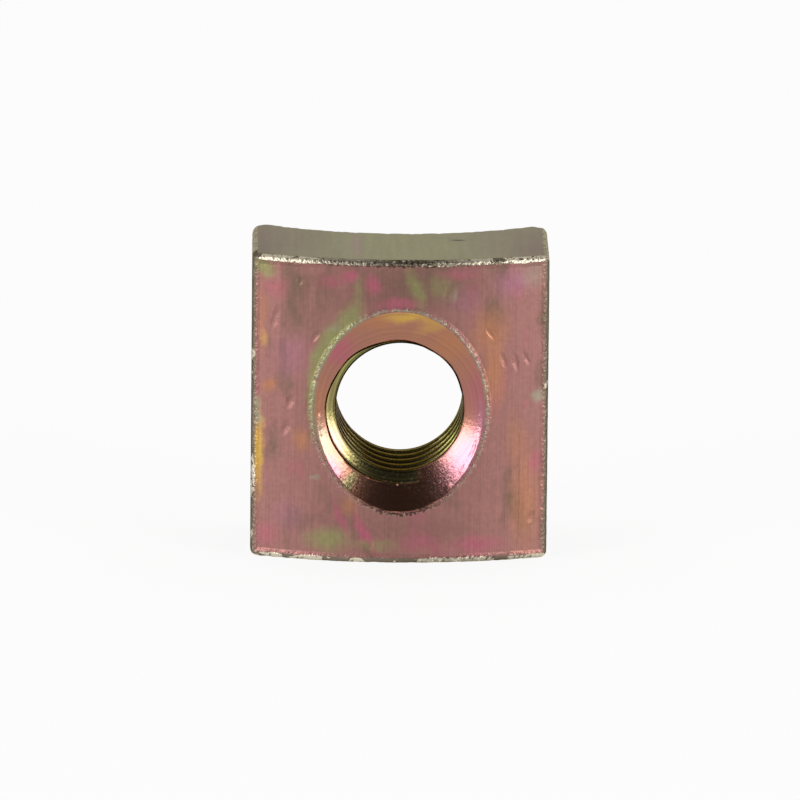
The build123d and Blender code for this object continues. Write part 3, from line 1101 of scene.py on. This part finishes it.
def add_floor(stage):
    """A wide pale floor: it is white to the eye and in the metal, and keeps the shadow."""
    low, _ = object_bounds()
    mesh = bpy.data.meshes.new("floor")
    mesh.from_pydata([(x * FLOOR_REACH, y * FLOOR_REACH, low.z)
                      for x, y in ((-1, -1), (1, -1), (1, 1), (-1, 1))], [], [(0, 1, 2, 3)])
    floor = bpy.data.objects.new("floor", mesh)
    bpy.context.scene.collection.objects.link(floor)
    material = bpy.data.materials.new("pale_floor")
    material.use_nodes = True
    tree = material.node_tree
    tree.nodes.clear()
    diffuse = add_node(tree, "ShaderNodeBsdfDiffuse", stage.floor)
    white = add_node(tree, "ShaderNodeEmission", stage.floor, 1.0)
    path = add_node(tree, "ShaderNodeLightPath").outputs
    seen = add_node(tree, "ShaderNodeMath", path["Is Camera Ray"], path["Is Glossy Ray"],
                    operation="MAXIMUM")
    seen = add_node(tree, "ShaderNodeMath", seen, path["Is Transmission Ray"],
                    operation="MAXIMUM")
    share = add_node(tree, "ShaderNodeMath", seen, FLOOR_WHITE, operation="MULTIPLY")
    mix = add_node(tree, "ShaderNodeMixShader", share, diffuse, white)
    add_node(tree, "ShaderNodeOutputMaterial", mix)
    mesh.materials.append(material)
    floor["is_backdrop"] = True


def add_room(stage):
    """Even light from all round, but for a darker part above the camera."""
    world = bpy.data.worlds.new("room")
    world.use_nodes = True
    tree = world.node_tree
    tree.nodes.clear()
    towards = add_node(tree, "ShaderNodeTexCoord").outputs["Generated"]
    nearness = add_node(tree, "ShaderNodeVectorMath", towards,
                        direction(0, math.radians(SHADE_HEIGHT)), operation="DOT_PRODUCT")
    level = add_node(tree, "ShaderNodeMapRange", nearness.outputs["Value"],
                     math.cos(math.radians(SHADE_OUTER)), math.cos(math.radians(SHADE_INNER)),
                     stage.room_light, stage.room_shade, interpolation_type="SMOOTHSTEP")
    light = add_node(tree, "ShaderNodeBackground", (1, 1, 1, 1), level)
    add_node(tree, "ShaderNodeOutputWorld", light)
    bpy.context.scene.world = world


def add_camera(stage):
    """A long lens, a little above the nut and in front of it."""
    low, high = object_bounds()
    camera = bpy.data.cameras.new("camera")
    camera.lens = stage.lens
    eye = bpy.data.objects.new("camera", camera)
    aim = Vector((0, low.y, (low.z + high.z) / 2 + stage.aim))
    back = direction(stage.azimuth, stage.elevation)
    turn = (-back).to_track_quat("-Z", "Y").to_matrix().to_4x4()
    place = Matrix.Translation(aim + back * stage.distance)
    eye.matrix_world = place @ turn @ Matrix.Rotation(stage.roll, 4, "Z")
    bpy.context.scene.collection.objects.link(eye)
    bpy.context.scene.camera = eye


class SLOTNUT_OT_stage(bpy.types.Operator):
    """Make the pale floor, the soft light and the camera"""

    bl_idname = "slot_nut.make_stage"
    bl_label = "Stage"

    def execute(self, context):
        stage = context.scene.slot_nut_stage
        low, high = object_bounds()
        centre = (low + high) / 2
        add_floor(stage)
        add_room(stage)
        for name, side in (("left_soft_box", -1), ("right_soft_box", 1)):
            away = direction(side * math.radians(BOX_SIDE), math.radians(BOX_HEIGHT))
            add_soft_box(name, centre + away * BOX_DISTANCE, centre, BOX_SIZE, stage.soft_box)
        add_camera(stage)
        context.scene.view_settings.view_transform = "Standard"
        return {"FINISHED"}


class SLOTNUT_PT_panel(bpy.types.Panel):
    """Sidebar panel of the slot nut"""

    bl_label = "Slot Nut"
    bl_space_type = "VIEW_3D"
    bl_region_type = "UI"
    bl_category = "Slot Nut"

    def draw(self, context):
        scene = context.scene
        for group in (scene.slot_nut_sizes, scene.slot_nut_finish, scene.slot_nut_stage):
            box = self.layout.box()
            for name in group.__annotations__:
                box.prop(group, name)
        self.layout.operator(SLOTNUT_OT_nut.bl_idname)
        self.layout.operator(SLOTNUT_OT_stage.bl_idname)


CLASSES = (SlotNutSizes, SlotNutFinish, SlotNutStage, SLOTNUT_OT_nut, SLOTNUT_OT_stage,
           SLOTNUT_PT_panel)


def register():
    for cls in CLASSES:
        bpy.utils.register_class(cls)
    bpy.types.Scene.slot_nut_sizes = bpy.props.PointerProperty(type=SlotNutSizes)
    bpy.types.Scene.slot_nut_finish = bpy.props.PointerProperty(type=SlotNutFinish)
    bpy.types.Scene.slot_nut_stage = bpy.props.PointerProperty(type=SlotNutStage)


def unregister():
    for name in ("slot_nut_sizes", "slot_nut_finish", "slot_nut_stage"):
        delattr(bpy.types.Scene, name)
    for cls in reversed(CLASSES):
        bpy.utils.unregister_class(cls)


def main():
    """Makes the whole scene."""
    register()
    bpy.ops.slot_nut.make_nut()
    bpy.ops.slot_nut.make_stage()


if __name__ == "__main__":
    main()
